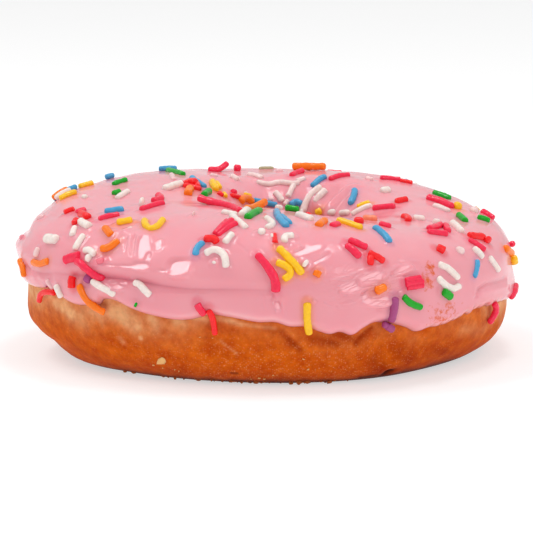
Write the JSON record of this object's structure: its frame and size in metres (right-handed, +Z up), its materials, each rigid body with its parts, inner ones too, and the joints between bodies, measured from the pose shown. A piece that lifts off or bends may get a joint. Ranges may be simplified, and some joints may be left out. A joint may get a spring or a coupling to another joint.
{
  "type": "sprinkle frosted doughnut",
  "caption": "Fried ring doughnut with a level base, under a glossy pink icing skin that ends in a wavy lip and carries sugar sprinkles.",
  "frame": {"origin": "on the surface that the doughnut rests on, under the middle of its outer box", "axes": "+Z up, out of the hole; +X towards the longer side of the ring; the fullest view of the icing's folds is from -Y"},
  "size_m": [0.0984, 0.0922, 0.033],
  "materials": {
    "crust": "fried yeast dough crust, satin, paler band under the icing, dark rim at the base",
    "icing": "set pink sugar icing, glossy and slightly translucent",
    "sprinkle_white": "pressed sugar strand, fine grained",
    "sprinkle_red": "pressed sugar strand, fine grained",
    "sprinkle_rose": "pressed sugar strand, fine grained",
    "sprinkle_orange": "pressed sugar strand, fine grained",
    "sprinkle_yellow": "pressed sugar strand, fine grained",
    "sprinkle_green": "pressed sugar strand, fine grained",
    "sprinkle_blue": "pressed sugar strand, fine grained",
    "sprinkle_purple": "pressed sugar strand, fine grained",
    "crumb": "dry crust crumb"
  },
  "bodies": {
    "root": {"dough": "crust", "icing": "icing"}
  },
  "joints": []
}
